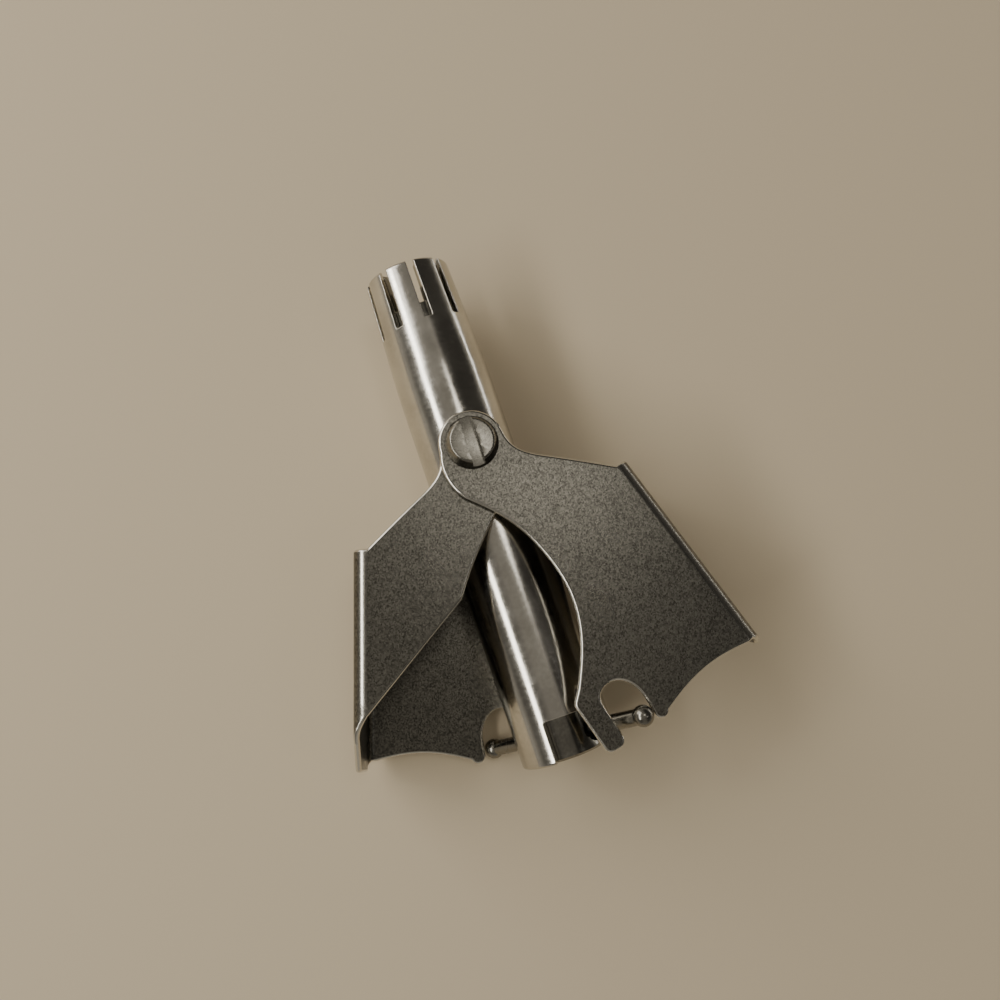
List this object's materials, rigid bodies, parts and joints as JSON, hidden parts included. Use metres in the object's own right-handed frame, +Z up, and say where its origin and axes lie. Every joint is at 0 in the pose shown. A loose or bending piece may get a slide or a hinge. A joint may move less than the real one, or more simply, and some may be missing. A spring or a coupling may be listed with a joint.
{
  "type": "manual nose hair trimmer",
  "caption": "Hand-squeezed steel trimmer: slotted head tube, rotary inner cutter turned by a cross pin, and two folded sheet wings pivoted on slotted screws.",
  "frame": {"origin": "centre of the underside of the bounding box, with the tool lying flat as it does on a table: the tube axis is at x = 0 and the lowest point, the back ball of the drive pin, is at z = 0", "axes": "+Y along the tube towards the cutting head, +Z up along the pivot screws towards the front screw, +X towards the wing whose long plate is in front"},
  "size_m": [0.0418, 0.0534, 0.0168],
  "materials": {
    "polished_tube": "mirror-polished stainless steel with fine lengthwise scratches",
    "cutter_steel": "ground stainless steel",
    "pin_steel": "polished stainless steel",
    "screw_steel": "turned stainless steel, softly polished",
    "satin_sheet": "tumbled satin stainless sheet with polished edges"
  },
  "bodies": {
    "tube": {"outer_tube": "polished_tube", "pivot_collar_front": "screw_steel", "pivot_collar_back": "screw_steel", "pivot_screw_front": "screw_steel", "pivot_screw_back": "screw_steel"},
    "right_wing": {"right_wing": "satin_sheet"},
    "left_wing": {"left_wing": "satin_sheet"},
    "cutter": {"inner_cutter": "cutter_steel", "drive_pin": "pin_steel"}
  },
  "joints": [
    {"name": "right_wing_pivot", "type": "hinge", "parent": "tube", "child": "right_wing", "pos_m": [0, 0.00572, 0.00842], "axis": [0, 0, -1], "range_deg": [0, 14]},
    {"name": "left_wing_pivot", "type": "hinge", "parent": "tube", "child": "left_wing", "pos_m": [0, 0.00572, 0.00842], "axis": [0, 0, 1], "range_deg": [0, 14]},
    {"name": "cutter_spin", "type": "hinge", "parent": "tube", "child": "cutter", "pos_m": [0, 0.00572, 0.00842], "axis": [0, -1, 0], "range_deg": [0, 52]}
  ],
  "couplings": [
    {"joint": "left_wing_pivot", "follows": "right_wing_pivot", "ratio": 1},
    {"joint": "cutter_spin", "follows": "right_wing_pivot", "ratio": 3.7}
  ]
}
